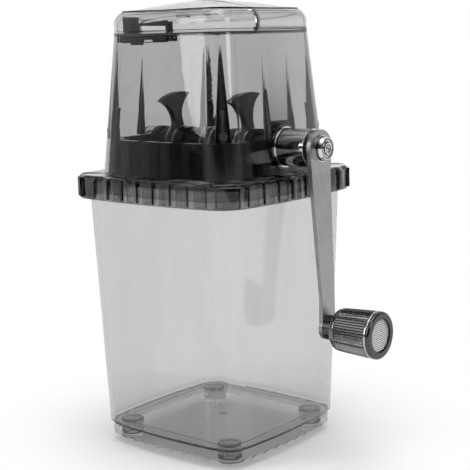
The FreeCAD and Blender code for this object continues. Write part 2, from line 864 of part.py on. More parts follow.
def make_crank_arm():
    """Pressed sheet arm with turned-in edges, open towards the housing."""
    deep = 2 * arm_hub_radius
    side = arm_side_profile(arm_depth, 0.0)
    side.translate(V(0, -deep, 0))
    arm = side.extrude(V(0, 2 * deep, 0)).common(arm_front_solid(0.0))
    pocket = arm_side_profile(arm_depth, -arm_sheet)
    pocket.translate(V(0, -deep, 0))
    arm = arm.cut(pocket.extrude(V(0, 2 * deep, 0)).common(arm_front_solid(arm_flange)))
    arm = arm.cut(square_bar(shaft_square, arm_offset - arm_depth - 1, arm_offset + 1))
    knob_x = arm_offset + arm_lean
    return arm.cut(rod(spindle_radius, knob_x - arm_depth - 1, knob_x + 1, 0.0, knob_z))


def make_flange_washer():
    washer = rod(flange_washer_radius, arm_offset, arm_offset + flange_washer)
    return washer.cut(rod(shaft_radius, arm_offset - 1, arm_offset + flange_washer + 1))


def make_crank_nut():
    """Round cap nut with turned rings on its face."""
    start = arm_offset + flange_washer
    face = start + crank_nut_height
    nut = Part.makeCone(crank_nut_radius, crank_nut_face_radius, crank_nut_height, V(start, 0, shaft_z), AXIS_X)
    centre_face = face + crank_nut_centre_height
    nut = nut.fuse(rod(crank_nut_centre_radius, face - overlap, centre_face))
    ring_inner, ring_outer, ring_depth = crank_nut_groove
    groove = rod(ring_outer, face - ring_depth, face + 1.0).cut(rod(ring_inner, face - 1.0, face + 2.0))
    dimple = rod(crank_nut_dimple_radius, centre_face - crank_nut_dimple_depth, centre_face + 1.0)
    return nut.cut(groove).cut(dimple).cut(rod(shaft_radius, start - 1.0, face - crank_nut_cap))


def make_hub_boss():
    """Drive boss inside the arm's channel, between the bush and the arm's sheet."""
    x_low = boss_reach + body_gap
    boss = rod(hub_boss_radius, x_low, arm_seat())
    return boss.cut(rod(shaft_radius, x_low - 1, arm_seat() + 1))


def fluted_wire(radius, x):
    points = []
    for step in range(2 * knob_flute_count + 1):
        angle = math.pi * step / knob_flute_count
        reach = radius if step % 2 else radius - knob_flute_depth
        points.append(V(x, reach * math.cos(angle), knob_z + reach * math.sin(angle)))
    return Part.makePolygon(points)


def knob_bore_end():
    return knob_end - disc_recess - disc_thickness - spindle_nut_height - 2 * body_gap


def make_knob_grip():
    """Fluted grip that widens outward, with a round shoulder, a neck for the ring and a recess for the end disc."""
    groove = knob_end - knob_groove_from_end
    shoulder_end = knob_start + knob_shoulder
    shoulder = rod(knob_start_radius, knob_start, shoulder_end, 0.0, knob_z)
    inner_edges = [edge for edge in shoulder.Edges if edge.BoundBox.XMax < knob_start + 0.01]
    shoulder = shoulder.makeFillet(knob_shoulder_round, inner_edges)
    wires = [fluted_wire(knob_start_radius, shoulder_end - overlap), fluted_wire(knob_radius, groove)]
    fluted = Part.makeLoft(wires, True, True)
    neck_end = groove + knob_neck_width
    neck = rod(knob_radius - knob_neck_depth, groove - overlap, neck_end + overlap, 0.0, knob_z)
    end = rod(knob_radius, neck_end, knob_end, 0.0, knob_z)
    rim_edges = [edge for edge in end.Edges if edge.BoundBox.XMin > knob_end - 0.01]
    end = end.makeFillet(knob_rim_radius, rim_edges)
    grip = joined([shoulder, fluted, neck, end])
    bore_end = knob_bore_end()
    disc_seat = knob_end - disc_recess - disc_thickness
    cuts = [rod(spindle_radius + run_gap, knob_start - 1.0, bore_end + 1.0, 0.0, knob_z)]
    cuts.append(rod(spindle_nut_radius + body_gap, bore_end, disc_seat + overlap / 2, 0.0, knob_z))
    cuts.append(rod(disc_radius, disc_seat, knob_end + 1.0, 0.0, knob_z))
    return grip.cut(Part.makeCompound(cuts))


def make_knob_ring():
    """Separate trim ring in the grip's neck."""
    start = knob_end - knob_groove_from_end
    low = start + knob_ring_side_gap
    high = start + knob_neck_width - knob_ring_side_gap
    ring = rod(knob_radius + knob_ring_proud, low, high, 0.0, knob_z)
    ring = ring.makeFillet(knob_ring_round, [edge for edge in ring.Edges if edge.BoundBox.YLength > knob_radius])
    return ring.cut(rod(knob_radius - knob_neck_depth, low - 1.0, high + 1.0, 0.0, knob_z))


def make_knob_disc():
    x_low = knob_end - disc_recess - disc_thickness
    disc = rod(disc_radius, x_low, x_low + disc_thickness, 0.0, knob_z)
    rim = [edge for edge in disc.Edges if edge.BoundBox.XMin > x_low + disc_thickness - 0.01]
    return disc.makeFillet(disc_edge_radius, rim)


def make_knob_spindle():
    """Shoulder bolt: head in the arm's channel, collar outside the arm, nut inside the grip."""
    sheet_in = arm_offset + arm_lean - arm_sheet
    sheet_out = arm_offset + arm_lean
    head = rod(spindle_head_radius, sheet_in - spindle_head_height, sheet_in, 0.0, knob_z)
    collar = rod(spindle_collar_radius, sheet_out, knob_start - body_gap, 0.0, knob_z)
    nut_start = knob_bore_end() + body_gap
    shank = rod(spindle_radius, sheet_in - overlap, nut_start + spindle_nut_height, 0.0, knob_z)
    nut = rod(spindle_nut_radius, nut_start, nut_start + spindle_nut_height - body_gap, 0.0, knob_z)
    return joined([shank, head, collar, nut])


def crown_solid(half, z_edge, rise, z_low):
    """Pillow-shaped top: level along a square of that half width, rising to its middle."""
    steps = [-half + 2 * half * step / crown_steps for step in range(crown_steps + 1)]
    rows = []
    for x in steps:
        rows.append([V(x, y, z_edge + rise * (1 - (x / half) ** 2) * (1 - (y / half) ** 2)) for y in steps])
    surface = Part.BSplineSurface()
    surface.interpolate(rows)
    return surface.toShape().extrude(V(0, 0, z_low - z_edge - rise))


def lid_forms(skin, roof, z_low):
    """The lid's rounded base and its crown, or those of its hollow when skin and roof are the walls."""
    form = inset(lid_form, skin)
    edge_z = housing_top + lid_side_height + lid_round - roof
    round_radius = lid_round - skin
    base = rounded_at(prism(form, z_low, edge_z), edge_z, round_radius)
    drop = round_radius - math.sqrt(round_radius ** 2 - (round_radius - lid_crease_inset) ** 2)
    crown_half = form[0] - lid_crease_inset
    cap_low = edge_z - round_radius / 2
    cap = prism(inset(form, lid_crease_inset), cap_low, edge_z + lid_crown)
    cap = cap.common(crown_solid(crown_half, edge_z - drop + lid_crease_step, lid_crown, cap_low - 1.0))
    return base, cap


def lid_outside(z_low):
    base, cap = lid_forms(0.0, 0.0, z_low)
    return base.fuse(cap)


def lid_shell(z_low):
    base, cap = lid_forms(lid_wall, lid_roof, z_low - 1.0)
    return lid_outside(z_low).cut(base).cut(cap)


def lid_pin_z():
    return housing_top + lid_pin_height


def lid_rod(radius, x_low, x_high):
    return rod(radius, x_low, x_high, split_place, lid_pin_z())


def ear_spans():
    return [(-ear_end, -knuckle_half - body_gap), (knuckle_half + body_gap, ear_end)]


def make_lid_flap():
    """Front part of the lid with the middle knuckle of its hinge."""
    far = 2 * housing_half_low
    shell = lid_shell(flap_low)
    flap = shell.common(box(-far, far, -far, split_place - split_gap / 2, 0, 2 * housing_top))
    ear_clear = [lid_rod(knuckle_radius + body_gap, low - body_gap, high + body_gap) for low, high in ear_spans()]
    flap = flap.cut(Part.makeCompound(ear_clear))
    knuckle = lid_rod(knuckle_radius, -knuckle_half, knuckle_half)
    flap = flap.fuse(knuckle).removeSplitter()
    return flap.common(lid_outside(flap_low)).cut(lid_rod(lid_pin_radius + run_gap, -ear_end, ear_end))


def make_rear_cover():
    """Fixed rear part of the lid with the two hinge ears and a locating lip."""
    far = 2 * housing_half_low
    front = split_place + split_gap / 2
    cover = lid_shell(housing_top).common(box(-far, far, front, far, 0, 2 * housing_top))
    lip_form = inset(housing_high_form, housing_wall + screw_gap)
    lip_top = housing_top + cover_lip_wall
    lip = prism(lip_form, housing_top - cover_lip_depth, lip_top)
    lip = lip.fuse(prism(inset(housing_high_form, lid_wall - overlap), housing_top, lip_top))
    lip = lip.cut(prism(inset(lip_form, cover_lip_wall), housing_top - 2 * cover_lip_depth, lip_top + 1.0))
    lip = lip.common(box(-far, far, front, far, 0, 2 * housing_top))
    cover = cover.fuse(lip)
    cover = cover.cut(lid_rod(groove_radius, -groove_half, groove_half))
    ears = []
    for low, high in ear_spans():
        roof = split_place + groove_radius + ear_back
        web_low = lid_pin_z() - knuckle_radius - ear_web
        web = box(low, high, split_place, roof, web_low, web_low + ear_web + overlap)
        ears += [lid_rod(knuckle_radius, low, high), web]
        ears.append(box(low, high, split_place + groove_radius - ear_front, roof, web_low, lid_pin_z() + ear_rise))
    outside = lid_outside(housing_top - 2 * cover_lip_depth)
    cover = joined([cover] + ears)
    keep_out = lid_rod(knuckle_radius + body_gap, -knuckle_half - body_gap, knuckle_half + body_gap)
    return cover.cut(keep_out).common(outside).cut(lid_rod(lid_pin_radius, -ear_end, ear_end))


def make_lid_hinge_pin():
    return lid_rod(lid_pin_radius, -ear_end, ear_end)


def catch_y():
    """Outer face of the catch's legs, behind the lid's front wall."""
    return -housing_half_high + catch_back


def catch_pin_z():
    return housing_top - catch_drop - catch_pin_drop


def catch_pin_y():
    return catch_y() + catch_thickness / 2


def catch_pin_rod(radius):
    x_low = catch_left - body_gap - catch_lug_thickness
    x_high = catch_right + body_gap + catch_lug_thickness
    return rod(radius, x_low, x_high, catch_pin_y(), catch_pin_z())


def catch_lugs():
    """Two lugs inside the housing's front wall hold the catch's pin."""
    lugs = []
    z_low = catch_pin_z() - catch_lug_height / 2
    z_high = catch_pin_z() + catch_lug_height / 2
    back = catch_pin_y() + catch_lug_height / 2
    starts = (catch_left - body_gap - catch_lug_thickness, catch_right + body_gap)
    for start in starts:
        lugs.append(box(start, start + catch_lug_thickness, -housing_half_low, back, z_low, z_high))
    return lugs


def make_lid_catch():
    """Black sprung catch: cross body on a pin, a wide and a narrow leg up into the lid."""
    front = catch_y()
    back = front + catch_thickness
    top = housing_top - catch_drop
    low = top - catch_body_height
    eye = rod(catch_eye_radius, catch_left, catch_right, catch_pin_y(), catch_pin_z())
    parts = [box(catch_left, catch_right, front, back, low + catch_body_step, top), eye]
    parts.append(box(catch_left, catch_right - catch_foot_end, front, back, low, low + catch_foot_height))
    bump_left, bump_right, bump_drop = catch_bump
    parts.append(box(bump_left, bump_right, front, back, low - bump_drop, low + catch_slot_floor))
    for left, right, height in (catch_leg_wide, catch_leg_narrow):
        parts.append(box(left, right, front, back, top - overlap, top + height))
    bar = top + catch_bar_rise
    left = catch_leg_wide[1] - overlap
    right = catch_leg_narrow[0] + overlap
    left_low, left_high = catch_bar_left
    right_low, right_high = catch_bar_right
    points = [V(left, front, bar + left_low), V(right, front, bar + right_low), V(right, front, bar + right_high),
              V(left, front, bar + left_high), V(left, front, bar + left_low)]
    parts.append(Part.Face(Part.makePolygon(points)).extrude(V(0, catch_thickness, 0)))
    catch = joined(parts)
    slot_left, slot_right, slot_height = catch_slot
    slot_low = low + catch_slot_floor
    slot = box(slot_left, slot_right, front - 1.0, back + 1.0, slot_low, slot_low + slot_height)
    return catch.cut(slot).cut(catch_pin_rod(catch_pin_radius + run_gap))


def make_catch_pin():
    return catch_pin_rod(catch_pin_radius)


def save(name, shape):
    shape.exportStep(os.path.join("parts", name + ".step"))
    print(name, len(shape.Solids), round(shape.Volume, 1), "valid" if shape.isValid() else "NOT VALID")


os.makedirs("parts", exist_ok=True)
save("ice_bin", make_ice_bin())
save("foot_pads", make_foot_pads())
save("collar_ring", make_collar_ring())
save("housing_shell", make_housing_shell())
save("hopper_tray", make_hopper_tray())
save("comb_front", make_comb(-1))
save("comb_rear", make_comb(1))
save("comb_screws", make_comb_screws())
save("corner_screws", make_corner_screws())
save("drive_bush", make_drive_bush())
save("end_bush", make_end_bush())
save("rear_cover", make_rear_cover())
save("lid_hinge_pin", make_lid_hinge_pin())
save("lid_flap", make_lid_flap())
save("lid_catch", make_lid_catch())
save("catch_pin", make_catch_pin())
save("drive_shaft", make_drive_shaft())
for name, place, turn in zip(pick_names, pick_places, pick_turns):
    save(name, make_pick(place, turn))
save("pick_rings", make_pick_rings())
save("spacer_sleeves", make_spacer_sleeves())
save("end_nut", make_end_nut())
save("hub_boss", make_hub_boss())
save("crank_arm", make_crank_arm())
save("flange_washer", make_flange_washer())
save("crank_nut", make_crank_nut())
save("knob_spindle", make_knob_spindle())
save("knob_grip", make_knob_grip())
save("knob_ring", make_knob_ring())
save("knob_disc", make_knob_disc())
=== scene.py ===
"""Looks of a hand cranked ice crusher: clear and smoked shells, steel picks and a crank with a knob."""

import math

import bpy
from bpy.props import FloatProperty, FloatVectorProperty, PointerProperty
from mathutils import Matrix, Vector


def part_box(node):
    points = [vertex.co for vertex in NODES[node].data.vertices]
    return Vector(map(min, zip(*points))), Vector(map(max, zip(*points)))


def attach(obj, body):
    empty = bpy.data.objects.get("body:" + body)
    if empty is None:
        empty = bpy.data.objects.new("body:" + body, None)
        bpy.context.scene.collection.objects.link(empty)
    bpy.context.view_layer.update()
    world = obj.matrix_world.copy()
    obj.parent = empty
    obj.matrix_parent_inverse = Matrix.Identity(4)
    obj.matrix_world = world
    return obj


bl_info = {
    "name": "Hand cranked ice crusher",
    "version": (1, 0, 0),
    "blender": (4, 5, 0),
    "location": "View3D > Sidebar > Ice crusher",
    "description": "Dresses the ice crusher: plastics, steels, and the fine parts of its knob and bin",
    "category": "Object",
}

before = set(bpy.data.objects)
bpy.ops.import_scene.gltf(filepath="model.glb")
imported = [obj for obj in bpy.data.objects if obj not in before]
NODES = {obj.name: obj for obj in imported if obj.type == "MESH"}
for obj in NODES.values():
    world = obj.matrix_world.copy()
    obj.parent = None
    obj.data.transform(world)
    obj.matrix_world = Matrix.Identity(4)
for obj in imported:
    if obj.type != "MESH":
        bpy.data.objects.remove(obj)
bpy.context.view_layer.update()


# Settings


class CrusherPlastics(bpy.types.PropertyGroup):
    bin_depth: FloatProperty(
        name="Bin depth of tone",
        description="How strongly the clear bin's plastic holds light back, per metre",
        min=0.0,
        max=2000.0,
        default=90.0,
    )
    smoke_depth: FloatProperty(
        name="Smoke depth of tone",
        description="How strongly the smoked plastic of the housing holds light back, per metre",
        min=0.0,
        max=2000.0,
        default=150.0,
    )
    bead_width: FloatProperty(
        name="Floor bead width",
        description="Width of the square that the bead on the bin's floor follows",
        subtype="DISTANCE",
        unit="LENGTH",
        min=0.05,
        max=0.1,
        default=0.0885,
        precision=4,
    )
    bead_corner: FloatProperty(
        name="Floor bead corner",
        description="Radius of the bead's rounded corners",
        subtype="DISTANCE",
        unit="LENGTH",
        min=0.001,
        max=0.03,
        default=0.011,
        precision=4,
    )
    bead_thickness: FloatProperty(
        name="Floor bead thickness",
        description="Radius of the bead's round section",
        subtype="DISTANCE",
        unit="LENGTH",
        min=0.0001,
        max=0.002,
        default=0.0004,
        precision=5,
    )
    floor_height: FloatProperty(
        name="Floor height",
        description="Height of the bin's floor above the table",
        subtype="DISTANCE",
        unit="LENGTH",
        min=0.005,
        max=0.03,
        default=0.0132,
        precision=4,
    )
    hopper_colour: FloatVectorProperty(
        name="Hopper colour",
        description="Colour of the near-black hopper tray and spacer sleeves",
        subtype="COLOR",
        size=3,
        min=0.0,
        max=1.0,
        default=(0.005, 0.005, 0.0055),
    )
    haze: FloatProperty(
        name="Haze",
        description="Roughness of the moulded clear plastic",
        subtype="FACTOR",
        min=0.0,
        max=0.3,
        default=0.03,
    )


class CrusherMetals(bpy.types.PropertyGroup):
    arm_colour: FloatVectorProperty(
        name="Arm colour",
        description="Satin stainless steel of the crank arm",
        subtype="COLOR",
        size=3,
        min=0.0,
        max=1.0,
        default=(0.36, 0.36, 0.36),
    )
    bright_colour: FloatVectorProperty(
        name="Bright steel colour",
        description="Plated nuts, washers, screws and shaft",
        subtype="COLOR",
        size=3,
        min=0.0,
        max=1.0,
        default=(0.66, 0.66, 0.67),
    )
    pick_colour: FloatVectorProperty(
        name="Pick colour",
        description="Darker steel of the picks and combs",
        subtype="COLOR",
        size=3,
        min=0.0,
        max=1.0,
        default=(0.12, 0.12, 0.123),
    )


class CrusherKnob(bpy.types.PropertyGroup):
    tint: FloatVectorProperty(
        name="Knob tint",
        description="Smoke grey of the ribbed knob",
        subtype="COLOR",
        size=3,
        min=0.0,
        max=1.0,
        default=(0.28, 0.28, 0.285),
    )
    line_pitch: FloatProperty(
        name="Disc line pitch",
        description="Distance between the fine raised lines on the knob's end disc",
        subtype="DISTANCE",
        unit="LENGTH",
        min=0.0002,
        max=0.002,
        default=0.00105,
        precision=5,
    )
    line_width: FloatProperty(
        name="Disc line width",
        description="Width of one raised line on the knob's end disc",
        subtype="DISTANCE",
        unit="LENGTH",
        min=0.0001,
        max=0.001,
        default=0.0006,
        precision=5,
    )


class CrusherStage(bpy.types.PropertyGroup):
    key_power: FloatProperty(
        name="Key light",
        description="Power of the large soft lamp in front, to the left",
        subtype="POWER",
        unit="POWER",
        min=0.0,
        max=200.0,
        default=4.0,
    )
    fill_power: FloatProperty(
        name="Fill light",
        description="Power of the soft lamp to the right",
        subtype="POWER",
        unit="POWER",
        min=0.0,
        max=200.0,
        default=5.0,
    )
    room_level: FloatProperty(
        name="Room level",
        description="Even light from all round",
        min=0.0,
        max=2.0,
        default=0.55,
    )
    lens: FloatProperty(
        name="Lens",
        description="Focal length of the camera",
        subtype="DISTANCE_CAMERA",
        unit="CAMERA",
        min=20.0,
        max=300.0,
        default=87.09,
    )


# Node helpers


class Tree:
    """A node tree that is written as short lines: each call adds a node and links what it is given."""

    def __init__(self, tree):
        self.tree = tree
        tree.nodes.clear()

    def add(self, kind, inputs=None, **settings):
        node = self.tree.nodes.new(kind)
        for name, value in settings.items():
            setattr(node, name, value)
        for name, value in (inputs or {}).items():
            socket = node.inputs[name]
            if isinstance(value, bpy.types.NodeSocket):
                self.tree.links.new(value, socket)
            else:
                socket.default_value = value
        return node

    def maths(self, operation, a, b=0.0, clamp=False):
        node = self.add("ShaderNodeMath", {0: a, 1: b}, operation=operation)
        node.use_clamp = clamp
        return node.outputs[0]

    def ramp(self, value, low, high, to_low=0.0, to_high=1.0):
        inputs = {"Value": value, "From Min": low, "From Max": high, "To Min": to_low, "To Max": to_high}
        return self.add("ShaderNodeMapRange", inputs, interpolation_type="SMOOTHSTEP").outputs[0]

    def tone(self, factor, dark, light):
        """Colour between two colours."""
        node = self.add("ShaderNodeMix", {"Factor": factor}, data_type="RGBA")
        node.inputs[6].default_value = (*dark, 1.0)
        node.inputs[7].default_value = (*light, 1.0)
        return node.outputs[2]

    def mixed(self, factor, colour, other):
        """A colour socket turned into another colour."""
        node = self.add("ShaderNodeMix", {"Factor": factor}, data_type="RGBA")
        self.tree.links.new(colour, node.inputs[6])
        node.inputs[7].default_value = (*other, 1.0)
        return node.outputs[2]

    def linear(self, value, low, high, to_low, to_high):
        inputs = {"Value": value, "From Min": low, "From Max": high, "To Min": to_low, "To Max": to_high}
        return self.add("ShaderNodeMapRange", inputs, clamp=False).outputs[0]

    def band(self, value, middle, half):
        """1 within half of the middle, fading to 0 just outside."""
        away = self.maths("ABSOLUTE", self.maths("SUBTRACT", value, middle))
        return self.ramp(away, half, half * 1.6, 1.0, 0.0)

    def noise(self, vector, scale, detail=3.0, rough=0.5, distortion=0.0):
        inputs = {"Vector": vector, "Scale": scale, "Detail": detail}
        inputs.update({"Roughness": rough, "Distortion": distortion})
        return self.add("ShaderNodeTexNoise", inputs).outputs["Fac"]

    def spot(self):
        """The three object coordinates, apart."""
        coordinates = self.add("ShaderNodeTexCoord").outputs["Object"]
        return self.add("ShaderNodeSeparateXYZ", {0: coordinates}).outputs

    def axis_distance(self, height):
        """Distance from a line along X at this height."""
        place = self.object_place(scale=(0.0, 1.0, 1.0), place=(0.0, 0.0, -height))
        return self.add("ShaderNodeVectorMath", {0: place}, operation="LENGTH").outputs["Value"]

    def rounded(self, radius):
        """Normals that round the edges."""
        return self.add("ShaderNodeBevel", {"Radius": radius}, samples=4).outputs[0]

    def blend_level(self, factor, level, other):
        """A number between two numbers."""
        node = self.add("ShaderNodeMix", {"Factor": factor, 2: level, 3: other}, data_type="FLOAT")
        return node.outputs[0]

    def circle(self, resolution, radius):
        """The round section of a bar."""
        inputs = {"Resolution": resolution, "Radius": radius}
        return self.add("GeometryNodeCurvePrimitiveCircle", inputs).outputs[0]

    def object_place(self, scale=(1.0, 1.0, 1.0), turn=(0.0, 0.0, 0.0), place=(0.0, 0.0, 0.0)):
        """Object coordinates, stretched and turned."""
        coordinates = self.add("ShaderNodeTexCoord").outputs["Object"]
        inputs = {"Vector": coordinates, "Scale": scale, "Rotation": turn, "Location": place}
        return self.add("ShaderNodeMapping", inputs).outputs[0]

    def bump(self, height, strength, distance, normal=None):
        inputs = {"Height": height, "Strength": strength, "Distance": distance}
        if normal is not None:
            inputs["Normal"] = normal
        return self.add("ShaderNodeBump", inputs).outputs[0]


def shaded(colour, share):
    return tuple(max(0.0, min(1.0, part * share)) for part in colour)


def new_material(name):
    material = bpy.data.materials.new(name)
    material.use_nodes = True
    return material, Tree(material.node_tree)


# Where the plastics carry painted shade or dark seams, are lined with metal, or get a strip of painted shade:
# each function gives a mask from object coordinates

HOUSING_WALL = 0.0022
HOUSING_HALF_LOW = 0.0529
HOUSING_HALF_HIGH = 0.0458
HOUSING_BOW = 0.0023
HOUSING_INNER_CORNER = 0.0125
RIB_START = -0.0016
RIB_FULL = -0.0008
RIM_BELOW_TOP = 0.0013
RIM_HALF = 0.00035


def housing_painted_ribs_and_seams(tree):
    """1 on the ribs inside the housing, which get painted shade, and along its seams, 0 on its walls."""
    low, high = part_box("housing_shell")
    start = HOUSING_HALF_LOW - HOUSING_WALL
    end = HOUSING_HALF_HIGH - HOUSING_WALL
    spot = tree.spot()
    half = tree.linear(spot["Z"], low.z, high.z, start, end)
    ax = tree.maths("ABSOLUTE", spot["X"])
    ay = tree.maths("ABSOLUTE", spot["Y"])
    sides = []
    for along, across in ((ax, ay), (ay, ax)):
        share = tree.maths("DIVIDE", across, half)
        bow = tree.maths("MULTIPLY", tree.maths("MULTIPLY", share, share), HOUSING_BOW)
        bowed = tree.maths("ADD", along, bow)
        sides.append(tree.maths("SUBTRACT", bowed, tree.maths("SUBTRACT", half, HOUSING_INNER_CORNER)))
    outer = [tree.maths("MAXIMUM", side, 0.0) for side in sides]
    squares = [tree.maths("MULTIPLY", side, side) for side in outer]
    length = tree.maths("SQRT", tree.maths("ADD", squares[0], squares[1]))
    inner = tree.maths("MINIMUM", tree.maths("MAXIMUM", sides[0], sides[1]), 0.0)
    inward = tree.maths("SUBTRACT", tree.maths("ADD", length, inner), HOUSING_INNER_CORNER)
    # painted shade: the ribs are darkened; the band near the top is the housing's seam
    ribs = tree.ramp(inward, RIB_START, RIB_FULL, 1.0, 0.0)
    return tree.maths("MAXIMUM", ribs, tree.band(spot["Z"], high.z - RIM_BELOW_TOP, RIM_HALF))


BOSS_START = 0.0515
BOSS_FULL = 0.0525
BOSS_RADIUS = 0.0112
BOSS_FADED = 0.0118


def housing_boss(tree):
    """1 on the shaft boss outside the wall, whose bore is lined with bright metal."""
    low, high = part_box("drive_bush")
    outside = tree.ramp(tree.spot()["X"], BOSS_START, BOSS_FULL)
    near = tree.ramp(tree.axis_distance((low.z + high.z) / 2), BOSS_RADIUS, BOSS_FADED, 1.0, 0.0)
    return tree.maths("MULTIPLY", outside, near)


STRIP_HALF = 0.0095
STRIP_FADED = 0.0105
STRIP_FULL_HEIGHT = 0.19
STRIP_END_HEIGHT = 0.232


def housing_strip_shade(tree):
    """1 on the wall between the two ribs on the crank side, which gets painted shade."""
    spot = tree.spot()
    middle = tree.ramp(tree.maths("ABSOLUTE", spot["Y"]), STRIP_HALF, STRIP_FADED, 1.0, 0.0)
    low = tree.ramp(spot["Z"], STRIP_FULL_HEIGHT, STRIP_END_HEIGHT, 1.0, 0.0)
    crank_side = tree.maths("GREATER_THAN", spot["X"], 0.0)
    return tree.maths("MULTIPLY", tree.maths("MULTIPLY", middle, low), crank_side)


SEAM_ABOVE_HOUSING = 0.0005
SEAM_HALF = 0.0002
SPLIT_HALF = 0.0008


def lid_depths(tree):
    """1 along the lid's lower edge and along the split between its two parts."""
    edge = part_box("housing_shell")[1].z
    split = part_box("lid_flap")[1].y
    spot = tree.spot()
    seam = tree.band(spot["Z"], edge + SEAM_ABOVE_HOUSING, SEAM_HALF)
    return tree.maths("MAXIMUM", seam, tree.band(spot["Y"], split, SPLIT_HALF))


FLOOR_SHADE_TOP = 0.0147
FLOOR_SHADE_END = 0.0177


def bin_floor_shade(tree):
    """1 on the bin's floor and skirt, which get painted shade, 0 above them."""
    return tree.ramp(tree.spot()["Z"], FLOOR_SHADE_TOP, FLOOR_SHADE_END, 1.0, 0.0)


# Materials

LINING_COLOUR = (0.7, 0.7, 0.71)
LINING_METAL = 0.95
STRIP_SHADE_SHARE = 0.6
ABSORBED_COLOUR = (0.0, 0.0, 0.01, 1.0)
LAMP_SHARE = (0.9, 0.9, 0.9, 1.0)
PLASTIC_IOR = 1.5


def moulded_clear(
    name,
    depth,
    haze,
    tint=(0.97, 0.97, 0.975),
    ripple=0.02,
    swirl=28.0,
    detail=3.0,
    smudge=0.06,
    edge=0.0003,
    shade_and_seam_mask=None,
    shade_and_seam_tone=0.2,
    closed=0.0,
    lined=None,
    wall_strip_shade=None,
):
    """Clear or smoked moulded plastic that darkens with its thickness, with flow marks and rounded edges.

    depth is how strongly a metre of it holds light back. ripple, swirl and detail shape its flow marks.
    The shade-and-seam mask, the lining mask and the strip-shade mask are functions of the tree: they say
    where it gets painted shade or dark seams, where it is lined with metal, and where a strip of it gets
    painted shade. The tone given with the first mask is the tone there, and closed is how far it stops being
    see-through there.
    """
    material, tree = new_material(name)
    place = tree.object_place(scale=(1.0, 1.0, 0.3))
    cloud = tree.noise(place, swirl, detail, 0.55, 0.6)
    fine = tree.noise(place, 420.0, 2.0, 0.5)
    colour = tree.tone(tree.ramp(cloud, 0.35, 0.7), shaded(tint, 1.0 - smudge), tint)
    clearness = 1.0
    # painted shade where the mask marks the bin's floor and the housing's ribs, dark seams where it marks
    # joints
    if shade_and_seam_mask:
        shade_and_seam_place = shade_and_seam_mask(tree)
        colour = tree.mixed(shade_and_seam_place, colour, shaded(tint, shade_and_seam_tone))
        if closed:
            clearness = tree.linear(shade_and_seam_place, 0.0, 1.0, 1.0, 1.0 - closed)
    # painted shade on a strip of the housing wall
    if wall_strip_shade:
        colour = tree.mixed(wall_strip_shade(tree), colour, shaded(tint, STRIP_SHADE_SHARE))
    rough = tree.ramp(cloud, 0.3, 0.8, haze * 0.5, haze * 1.8)
    rounded = tree.rounded(edge)
    wavy = tree.bump(cloud, ripple, 0.004, rounded)
    normal = tree.bump(fine, min(ripple, 0.05) * 0.6, 0.0003, wavy)
    inputs = {"Roughness": rough, "IOR": PLASTIC_IOR, "Normal": normal, "Transmission Weight": clearness}
    if lined:
        sheen = lined(tree)
        colour = tree.mixed(sheen, colour, LINING_COLOUR)
        inputs["Metallic"] = tree.maths("MULTIPLY", sheen, LINING_METAL)
    inputs["Base Color"] = colour
    body = tree.add("ShaderNodeBsdfPrincipled", inputs)
    through = tree.add("ShaderNodeBsdfTransparent", {"Color": LAMP_SHARE})
    shadow = tree.add("ShaderNodeLightPath").outputs["Is Shadow Ray"]
    mix = tree.add("ShaderNodeMixShader", {0: shadow, 1: body.outputs[0], 2: through.outputs[0]})
    inner = tree.add("ShaderNodeVolumeAbsorption", {"Color": ABSORBED_COLOUR, "Density": depth})
    tree.add("ShaderNodeOutputMaterial", {"Surface": mix.outputs[0], "Volume": inner.outputs[0]})
    return material


LIT_BAND_TONE = 5.0
LIT_BAND_FADE = 0.001


def moulded_dark(name, colour, rough=0.22, grain=0.04, edge=0.0003, lit_bands=None):
    """Glossy dark moulded plastic with a faint grain and uneven gloss.

    The band argument gives the pitch of paler upright bands of painted light and the height that they stop
    at.
    """
    material, tree = new_material(name)
    place = tree.object_place()
    cloud = tree.noise(place, 60.0, 4.0, 0.6)
    grains = tree.noise(place, 900.0, 2.0, 0.5)
    shade = tree.tone(tree.ramp(cloud, 0.35, 0.75), shaded(colour, 0.8), shaded(colour, 1.5))
    # painted light: paler upright bands on the dark tray
    if lit_bands:
        pitch, top = lit_bands
        spot = tree.spot()
        along = tree.maths("ADD", spot["X"], spot["Y"])
        wave = tree.maths("SINE", tree.maths("MULTIPLY", along, 2.0 * math.pi / pitch))
        below = tree.ramp(spot["Z"], top - LIT_BAND_FADE, top, 1.0, 0.0)
        bands = tree.maths("MULTIPLY", tree.ramp(wave, 0.0, 0.5), below)
        shade = tree.mixed(bands, shade, shaded(colour, LIT_BAND_TONE))
    roughness = tree.ramp(cloud, 0.3, 0.8, rough * 0.7, rough * 1.6)
    normal = tree.bump(grains, grain, 0.0004, tree.rounded(edge))
    inputs = {"Base Color": shade, "Roughness": roughness, "Normal": normal, "IOR": PLASTIC_IOR}
    body = tree.add("ShaderNodeBsdfPrincipled", inputs)
    tree.add("ShaderNodeOutputMaterial", {"Surface": body.outputs[0]})
    return material


EVEN = (1.0, 1.0, 1.0)
END_FADE = 0.0003
END_SHARE = 0.3
RING_SHADE_SHARE = 0.12
GROOVE_STRENGTH = 0.35


